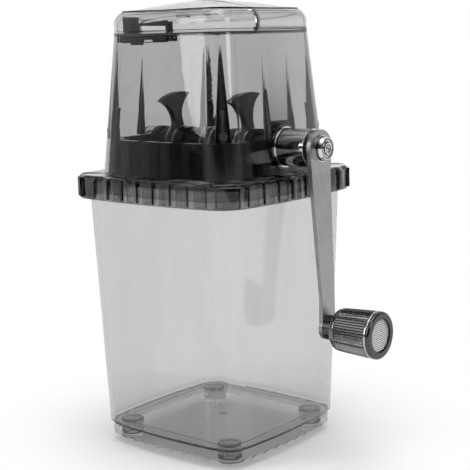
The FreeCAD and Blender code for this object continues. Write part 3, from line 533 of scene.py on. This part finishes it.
def steel(
    name,
    colour,
    rough=0.2,
    brush=EVEN,
    strength=0.05,
    mottle=0.15,
    edge=0.0002,
    turned=None,
    ended=None,
):
    """Steel with brushing along one direction, slight staining and rounded edges.

    turned gives the height and the pitch of rings turned into it around an axis along X, with every other
    ring darkened by painted shade.
    ended says how far along X it turns darker.
    """
    material, tree = new_material(name)
    lines = tree.noise(tree.object_place(scale=brush), 600.0, 4.0, 0.65)
    stain = tree.noise(tree.object_place(), 70.0, 4.0, 0.6, 0.4)
    stained = shaded(colour, 1.0 - mottle)
    clean = shaded(colour, 1.0 + mottle * 0.5)
    shade = tree.tone(tree.ramp(stain, 0.35, 0.75), stained, clean)
    roughness = tree.ramp(lines, 0.25, 0.8, rough * 0.75, rough * 1.35)
    normal = tree.bump(lines, strength, 0.0001, tree.rounded(edge))
    if ended:
        beyond = tree.ramp(tree.spot()["X"], ended, ended + END_FADE)
        shade = tree.mixed(beyond, shade, shaded(colour, END_SHARE))
    if turned:
        height, pitch = turned
        angle = tree.maths("MULTIPLY", tree.axis_distance(height), 2.0 * math.pi / pitch)
        rings = tree.maths("SINE", angle)
        # painted shade: every other ring is darkened in colour
        shade = tree.mixed(tree.ramp(rings, 0.2, 0.8), shade, shaded(colour, RING_SHADE_SHARE))
        normal = tree.bump(rings, GROOVE_STRENGTH, pitch * 0.3, normal)
    inputs = {"Base Color": shade, "Roughness": roughness, "Normal": normal, "Metallic": 1.0}
    body = tree.add("ShaderNodeBsdfPrincipled", inputs)
    tree.add("ShaderNodeOutputMaterial", {"Surface": body.outputs[0]})
    return material


def paint(node_name, material):
    node = NODES[node_name]
    for slot in node.material_slots:
        slot.material = material


# Geometry trees


def geometry_group(name, inputs):
    """A geometry tree with these inputs and one output, and the identifier of each input."""
    group = bpy.data.node_groups.new(name, "GeometryNodeTree")
    face = group.interface
    sockets = {}
    for label, kind in inputs.items():
        socket = face.new_socket(label, in_out="INPUT", socket_type="NodeSocket" + kind)
        sockets[label] = socket.identifier
    face.new_socket("Geometry", in_out="OUTPUT", socket_type="NodeSocketGeometry")
    return group, sockets


def end_group(tree, geometry, material):
    """Make the instances real, give them their material and put them out."""
    real = tree.add("GeometryNodeRealizeInstances", {"Geometry": geometry}).outputs[0]
    done = tree.add("GeometryNodeSetMaterial", {"Geometry": real, "Material": material}).outputs[0]
    tree.add("NodeGroupOutput", {"Geometry": done})


def disc_line_tree(material):
    """Rows of thin bars that stop at a circle, facing +X."""
    kinds = {"Count": "Int", "Pitch": "Float", "Width": "Float", "Radius": "Float", "Centre": "Vector"}
    group, sockets = geometry_group("Disc_lines", kinds)
    tree = Tree(group)
    given = tree.add("NodeGroupInput").outputs
    index = tree.add("GeometryNodeInputIndex").outputs[0]
    middle = tree.maths("MULTIPLY", tree.maths("SUBTRACT", given["Count"], 1.0), 0.5)
    height = tree.maths("MULTIPLY", tree.maths("SUBTRACT", index, middle), given["Pitch"])
    radius_squared = tree.maths("MULTIPLY", given["Radius"], given["Radius"])
    chord_squared = tree.maths("SUBTRACT", radius_squared, tree.maths("MULTIPLY", height, height))
    chord = tree.maths("SQRT", tree.maths("MAXIMUM", chord_squared, 0.0))
    offset = tree.add("ShaderNodeCombineXYZ", {"Z": height}).outputs[0]
    place = tree.add("ShaderNodeVectorMath", {0: offset, 1: given["Centre"]}, operation="ADD").outputs[0]
    points = tree.add("GeometryNodePoints", {"Count": given["Count"], "Position": place}).outputs[0]
    ends = {"Start": (0.0, -1.0, 0.0), "End": (0.0, 1.0, 0.0)}
    bar = tree.add("GeometryNodeCurvePrimitiveLine", ends).outputs[0]
    profile = tree.circle(8, tree.maths("MULTIPLY", given["Width"], 0.5))
    swept = {"Curve": bar, "Profile Curve": profile, "Fill Caps": True}
    solid = tree.add("GeometryNodeCurveToMesh", swept).outputs[0]
    scale = tree.add("ShaderNodeCombineXYZ", {"X": 1.0, "Y": chord, "Z": 1.0}).outputs[0]
    placed = {"Points": points, "Instance": solid, "Scale": scale}
    end_group(tree, tree.add("GeometryNodeInstanceOnPoints", placed).outputs[0], material)
    return group, sockets


def bead_tree(material):
    """A fine bead along a rounded square."""
    kinds = {"Width": "Float", "Corner": "Float", "Thickness": "Float", "Height": "Float"}
    group, sockets = geometry_group("Floor_bead", kinds)
    tree = Tree(group)
    given = tree.add("NodeGroupInput").outputs
    sides = {"Width": given["Width"], "Height": given["Width"]}
    square = tree.add("GeometryNodeCurvePrimitiveQuadrilateral", sides).outputs[0]
    corners = {"Curve": square, "Radius": given["Corner"], "Count": 12}
    fillet = tree.add("GeometryNodeFilletCurve", corners, mode="POLY").outputs[0]
    lift = tree.add("ShaderNodeCombineXYZ", {"Z": given["Height"]}).outputs[0]
    placed = tree.add("GeometryNodeTransform", {"Geometry": fillet, "Translation": lift}).outputs[0]
    swept = {"Curve": placed, "Profile Curve": tree.circle(10, given["Thickness"])}
    end_group(tree, tree.add("GeometryNodeCurveToMesh", swept).outputs[0], material)
    return group, sockets


def grown(piece_name, body, group, sockets, values):
    """Run a geometry tree with these values and keep its result as a plain mesh."""
    source_name = piece_name + "_source"
    holder = bpy.data.objects.new(source_name, bpy.data.meshes.new(source_name))
    bpy.context.scene.collection.objects.link(holder)
    modifier = holder.modifiers.new("Grow", "NODES")
    modifier.node_group = group
    for name, value in values.items():
        modifier[sockets[name]] = value
    evaluated = holder.evaluated_get(bpy.context.evaluated_depsgraph_get())
    mesh = bpy.data.meshes.new_from_object(evaluated)
    mesh.name = piece_name
    holder.modifiers.remove(modifier)
    bpy.data.objects.remove(holder)
    piece = bpy.data.objects.new(piece_name, mesh)
    bpy.context.scene.collection.objects.link(piece)
    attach(piece, body)
    return piece


# Operators


class CRUSHER_OT_shells(bpy.types.Operator):
    """Finish the clear bin, the smoked collar, housing and lid, and the foot pads"""

    bl_idname = "crusher.shells"
    bl_label = "Finish the clear and smoked shells"

    def execute(self, context):
        look = context.scene.crusher_plastics
        # painted shade: the bin's floor and skirt are darkened in colour
        clear = moulded_clear(
            "Clear_bin_plastic",
            look.bin_depth,
            look.haze,
            smudge=0.04,
            edge=0.0001,
            shade_and_seam_mask=bin_floor_shade,
            shade_and_seam_tone=0.84,
        )
        # painted shade on the housing's inner ribs, which are also made less clear, and on a strip of the
        # crank-side wall; the band along the top is a dark seam
        smoke = moulded_clear(
            "Smoked_housing_plastic",
            look.smoke_depth,
            look.haze,
            shade_and_seam_mask=housing_painted_ribs_and_seams,
            shade_and_seam_tone=0.03,
            closed=0.8,
            lined=housing_boss,
            wall_strip_shade=housing_strip_shade,
        )
        collar = moulded_clear(
            "Smoked_collar_plastic",
            look.smoke_depth * 1.9,
            look.haze,
            ripple=1.0,
            swirl=70.0,
            edge=0.0006,
            detail=0.0,
        )
        lid = moulded_clear(
            "Smoked_lid_plastic",
            look.smoke_depth * 0.6,
            look.haze,
            ripple=0.06,
            shade_and_seam_mask=lid_depths,
            shade_and_seam_tone=0.3,
        )
        pads = moulded_clear("Foot_plastic", look.smoke_depth * 0.08, 0.06, ripple=0.1)
        paint("ice_bin", clear)
        paint("housing_shell", smoke)
        paint("collar_ring", collar)
        paint("lid_flap", lid)
        paint("rear_cover", lid)
        paint("foot_pads", pads)
        return {"FINISHED"}


class CRUSHER_OT_floor_bead(bpy.types.Operator):
    """Run the fine raised bead round the floor of the clear bin"""

    bl_idname = "crusher.floor_bead"
    bl_label = "Add the bead on the bin's floor"

    def execute(self, context):
        look = context.scene.crusher_plastics
        group, sockets = bead_tree(NODES["ice_bin"].material_slots[0].material)
        values = {
            "Width": look.bead_width,
            "Corner": look.bead_corner,
            "Thickness": look.bead_thickness,
            "Height": look.floor_height,
        }
        bead = grown("floor_bead", "bin", group, sockets, values)
        for face in bead.data.polygons:
            face.use_smooth = True
        return {"FINISHED"}


LIT_BAND_PITCH = 0.0155
TRAY_RIM_DEPTH = 0.004


class CRUSHER_OT_hopper(bpy.types.Operator):
    """Finish the hopper tray, the sleeves, bushes and the lid's catch"""

    bl_idname = "crusher.hopper"
    bl_label = "Finish the hopper tray and dark parts"

    def execute(self, context):
        colour = tuple(context.scene.crusher_plastics.hopper_colour)
        # painted light: the tray gets paler upright bands
        lit_bands = (LIT_BAND_PITCH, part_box("hopper_tray")[1].z - TRAY_RIM_DEPTH)
        bush = steel("Bush_metal", (0.6, 0.6, 0.6), 0.15, EVEN, 0.02, 0.1)
        paint("hopper_tray", moulded_dark("Dark_tray_plastic", colour, 0.12, 0.02, lit_bands=lit_bands))
        paint("spacer_sleeves", moulded_dark("Dark_hopper_plastic", colour))
        paint("lid_catch", moulded_dark("Black_catch_plastic", (0.01, 0.01, 0.01), 0.3))
        paint("drive_bush", bush)
        paint("end_bush", bush)
        return {"FINISHED"}


class CRUSHER_OT_cutters(bpy.types.Operator):
    """Finish the picks, combs, shaft and screws"""

    bl_idname = "crusher.cutters"
    bl_label = "Finish the picks, combs and screws"

    def execute(self, context):
        look = context.scene.crusher_metals
        pick = steel("Pick_steel", tuple(look.pick_colour), 0.35, (1.0, 1.0, 6.0), 0.08, 0.2)
        bright = steel("Bright_plated_steel", tuple(look.bright_colour), 0.1, EVEN, 0.01, 0.08)
        screws = steel("Blackened_screw_steel", (0.06, 0.06, 0.06), 0.3, EVEN, 0.02, 0.2)
        for name in ("comb_front", "comb_rear", "pick_left", "pick_middle", "pick_right"):
            paint(name, pick)
        for name in ("comb_screws", "lid_hinge_pin", "catch_pin", "drive_shaft", "pick_rings", "end_nut"):
            paint(name, bright)
        paint("corner_screws", screws)
        return {"FINISHED"}


NUT_RING_PITCH = 0.0016


class CRUSHER_OT_crank(bpy.types.Operator):
    """Finish the crank arm with its hub, washer, nut and spindle"""

    bl_idname = "crusher.crank"
    bl_label = "Finish the crank arm"

    def execute(self, context):
        look = context.scene.crusher_metals
        bright_colour = tuple(look.bright_colour)
        low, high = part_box("crank_nut")
        # the nut's turned rings carry painted shade
        rings = ((low.z + high.z) / 2, NUT_RING_PITCH)
        satin = steel("Satin_arm_steel", tuple(look.arm_colour), 0.3, (3.0, 3.0, 0.15), 0.06, 0.05)
        bright = steel("Bright_hub_steel", bright_colour, 0.08, EVEN, 0.01, 0.06)
        nut = steel("Turned_nut_steel", bright_colour, 0.07, EVEN, 0.01, 0.06, turned=rings)
        spindle = steel("Dark_spindle_steel", (0.09, 0.09, 0.09), 0.25, EVEN, 0.01, 0.1)
        paint("crank_arm", satin)
        paint("hub_boss", bright)
        paint("flange_washer", bright)
        paint("crank_nut", nut)
        paint("knob_spindle", spindle)
        return {"FINISHED"}


ALONG_Z = (1.0, 1.0, 4.0)
LINED_SHARE = 0.94


class CRUSHER_OT_knob(bpy.types.Operator):
    """Finish the ribbed knob, its ring and its lined end disc"""

    bl_idname = "crusher.knob"
    bl_label = "Finish the knob"

    def execute(self, context):
        look = context.scene.crusher_knob
        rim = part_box("knob_ring")[1].x
        grip = steel("Knob_smoke_gloss", tuple(look.tint), 0.16, (0.2, 1.0, 1.0), 0.03, 0.15, ended=rim)
        ring = steel("Knob_ring_gloss", (0.5, 0.5, 0.5), 0.08, EVEN, 0.01, 0.1)
        # painted reflection and shade: the disc's raised lines are a far paler steel than the disc between
        # them
        disc = steel("Disc_steel", (0.25, 0.25, 0.25), 0.35, ALONG_Z, 0.02, 0.03)
        line = steel("Disc_line_painted_sheen", (0.95, 0.95, 0.95), 0.45, ALONG_Z, 0.02, 0.03)
        paint("knob_grip", grip)
        paint("knob_ring", ring)
        paint("knob_disc", disc)
        low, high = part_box("knob_disc")
        centre = (low + high) / 2
        radius = (high.y - low.y) / 2 * LINED_SHARE
        group, sockets = disc_line_tree(line)
        values = {
            "Count": int(2 * radius / look.line_pitch),
            "Pitch": look.line_pitch,
            "Width": look.line_width,
            "Radius": radius,
            "Centre": (high.x, centre.y, centre.z),
        }
        lines = grown("disc_lines", "knob", group, sockets, values)
        return {"FINISHED"}


SIDE_SHARE = 0.6


class CRUSHER_OT_stage(bpy.types.Operator):
    """Make the floor, the soft lamps and the camera"""

    bl_idname = "crusher.stage"
    bl_label = "Set the stage"

    def execute(self, context):
        look = context.scene.crusher_stage
        make_camera(context, look)
        make_room(context, look)
        make_floor(context)
        side_power = look.fill_power * SIDE_SHARE
        make_lamp("Key_lamp", (-0.559, -1.147, 0.76), (0.0, 0.0, 0.2), (0.47, 1.02), look.key_power)
        make_lamp("Side_lamp", (1.22, -0.02, 0.62), (0.0, 0.0, 0.17), (0.55, 0.5), side_power)
        make_lamp("Top_lamp", (0.1, -0.1, 1.4), (0.0, 0.0, 0.1), (0.9, 0.9), look.fill_power)
        return {"FINISHED"}


CAMERA_PLACE = Vector((0.43566, -0.51251, 0.23802))
CAMERA_YAW = math.radians(39.43)
CAMERA_DIP = math.radians(9.66)
CAMERA_ROLL = -0.025
SENSOR_WIDTH = 36.0


def make_camera(context, look):
    """Camera at the photo's angle, from its yaw, dip and roll."""
    data = bpy.data.cameras.new("Camera")
    data.sensor_width = SENSOR_WIDTH
    data.lens = look.lens
    level = math.cos(CAMERA_DIP)
    ahead = Vector((-math.sin(CAMERA_YAW) * level, math.cos(CAMERA_YAW) * level, -math.sin(CAMERA_DIP)))
    right = Vector((math.cos(CAMERA_YAW), math.sin(CAMERA_YAW), 0.0))
    up = right.cross(ahead)
    turned_right = right * math.cos(CAMERA_ROLL) + up * math.sin(CAMERA_ROLL)
    turned_up = up * math.cos(CAMERA_ROLL) - right * math.sin(CAMERA_ROLL)
    camera = bpy.data.objects.new("Camera", data)
    axes = Matrix((turned_right, turned_up, -ahead)).transposed()
    camera.matrix_world = Matrix.Translation(CAMERA_PLACE) @ axes.to_4x4()
    context.scene.collection.objects.link(camera)
    context.scene.camera = camera


FRONT_LEVEL = 0.08
PANEL_COUNT = 7.0
PANEL_GAP_LEVEL = 0.45


def make_room(context, look):
    """White behind the object and to mirrors and glass, dimmer on the camera's side, even for plain light."""
    world = bpy.data.worlds.new("Room")
    world.use_nodes = True
    context.scene.world = world
    tree = Tree(world.node_tree)
    direction = tree.add("ShaderNodeTexCoord").outputs["Generated"]
    front = (math.sin(CAMERA_YAW), -math.cos(CAMERA_YAW), 0.1)
    aimed = tree.add("ShaderNodeVectorMath", {0: direction, 1: front}, operation="DOT_PRODUCT")
    toward = aimed.outputs["Value"]
    smooth = tree.ramp(toward, -0.75, 0.35, 1.0, FRONT_LEVEL)
    turn = tree.add("ShaderNodeSeparateXYZ", {0: direction}).outputs
    around = tree.maths("ARCTAN2", turn["Y"], turn["X"])
    wave = tree.maths("SINE", tree.maths("MULTIPLY", around, PANEL_COUNT))
    panels = tree.ramp(wave, -0.25, 0.25, PANEL_GAP_LEVEL, 1.0)
    ahead = tree.ramp(toward, -0.8, -0.6, 1.0, 0.0)
    sides = tree.maths("MULTIPLY", smooth, tree.maths("MAXIMUM", panels, ahead))
    studio = tree.maths("MAXIMUM", sides, tree.ramp(turn["Z"], 0.55, 0.9, 0.0, 1.0))
    path = tree.add("ShaderNodeLightPath").outputs
    mirrored = tree.maths("MAXIMUM", path["Is Glossy Ray"], path["Is Transmission Ray"])
    plain = tree.blend_level(mirrored, look.room_level, studio)
    level = tree.blend_level(path["Is Camera Ray"], plain, 1.0)
    background = tree.add("ShaderNodeBackground", {"Color": (1.0, 1.0, 1.0, 1.0), "Strength": level})
    tree.add("ShaderNodeOutputWorld", {"Surface": background.outputs[0]})


FLOOR_REACH = 8.0
SHADOW_NEAR = 0.07
SHADOW_FAR = 0.18
PAPER_LIGHT = (0.85, 0.85, 0.85)
PAPER_SEEN = (1.12, 1.12, 1.12)


def make_floor(context):
    """Pale floor that keeps the object's shadow and turns to plain white further out."""
    mesh = bpy.data.meshes.new("Floor")
    corners = [(x * FLOOR_REACH, y * FLOOR_REACH, 0.0) for x, y in ((-1, -1), (1, -1), (1, 1), (-1, 1))]
    mesh.from_pydata(corners, [], [(0, 1, 2, 3)])
    floor = bpy.data.objects.new("Floor", mesh)
    context.scene.collection.objects.link(floor)
    material, tree = new_material("Pale_floor")
    coordinates = tree.add("ShaderNodeTexCoord").outputs["Object"]
    distance = tree.add("ShaderNodeVectorMath", {0: coordinates}, operation="LENGTH").outputs["Value"]
    far = tree.ramp(distance, SHADOW_NEAR, SHADOW_FAR, 0.0, 1.0)
    path = tree.add("ShaderNodeLightPath").outputs
    mirrored = tree.maths("MAXIMUM", path["Is Glossy Ray"], path["Is Transmission Ray"])
    seen = tree.maths("MAXIMUM", path["Is Camera Ray"], mirrored)
    share = tree.maths("MULTIPLY", far, seen)
    paper = tree.add("ShaderNodeBsdfDiffuse", {"Color": tree.tone(seen, PAPER_LIGHT, PAPER_SEEN)})
    white = tree.add("ShaderNodeEmission", {"Color": (1.0, 1.0, 1.0, 1.0), "Strength": 1.0})
    mix = tree.add("ShaderNodeMixShader", {0: share, 1: paper.outputs[0], 2: white.outputs[0]})
    tree.add("ShaderNodeOutputMaterial", {"Surface": mix.outputs[0]})
    mesh.materials.append(material)


def make_lamp(name, place, aim, size, power):
    """Soft elliptical lamp that points at a place."""
    data = bpy.data.lights.new(name, "AREA")
    data.shape = "ELLIPSE"
    data.size, data.size_y = size
    data.energy = power
    lamp = bpy.data.objects.new(name, data)
    lamp.location = place
    lamp.rotation_euler = (Vector(aim) - Vector(place)).to_track_quat("-Z", "Y").to_euler()
    bpy.context.scene.collection.objects.link(lamp)


class CRUSHER_PT_panel(bpy.types.Panel):
    """Lists the steps that dress the ice crusher"""

    bl_idname = "CRUSHER_PT_panel"
    bl_label = "Ice crusher"
    bl_space_type = "VIEW_3D"
    bl_region_type = "UI"
    bl_category = "Ice crusher"

    def draw(self, context):
        column = self.layout.column()
        for step in STEPS:
            column.operator(step.bl_idname)
        for group, names in SETTINGS.items():
            owner = getattr(context.scene, group)
            for name in names.__annotations__:
                column.prop(owner, name)


STEPS = (
    CRUSHER_OT_stage,
    CRUSHER_OT_shells,
    CRUSHER_OT_floor_bead,
    CRUSHER_OT_hopper,
    CRUSHER_OT_cutters,
    CRUSHER_OT_crank,
    CRUSHER_OT_knob,
)
SETTINGS = {
    "crusher_plastics": CrusherPlastics,
    "crusher_metals": CrusherMetals,
    "crusher_knob": CrusherKnob,
    "crusher_stage": CrusherStage,
}


def register():
    for kind in (*SETTINGS.values(), *STEPS, CRUSHER_PT_panel):
        bpy.utils.register_class(kind)
    for name, kind in SETTINGS.items():
        setattr(bpy.types.Scene, name, PointerProperty(type=kind))


def unregister():
    for name in SETTINGS:
        delattr(bpy.types.Scene, name)
    for kind in reversed((*SETTINGS.values(), *STEPS, CRUSHER_PT_panel)):
        bpy.utils.unregister_class(kind)


def main():
    register()
    bpy.context.scene.view_settings.view_transform = "Standard"
    bpy.ops.crusher.stage()
    bpy.ops.crusher.shells()
    bpy.ops.crusher.floor_bead()
    bpy.ops.crusher.hopper()
    bpy.ops.crusher.cutters()
    bpy.ops.crusher.crank()
    bpy.ops.crusher.knob()


if __name__ == "__main__":
    main()
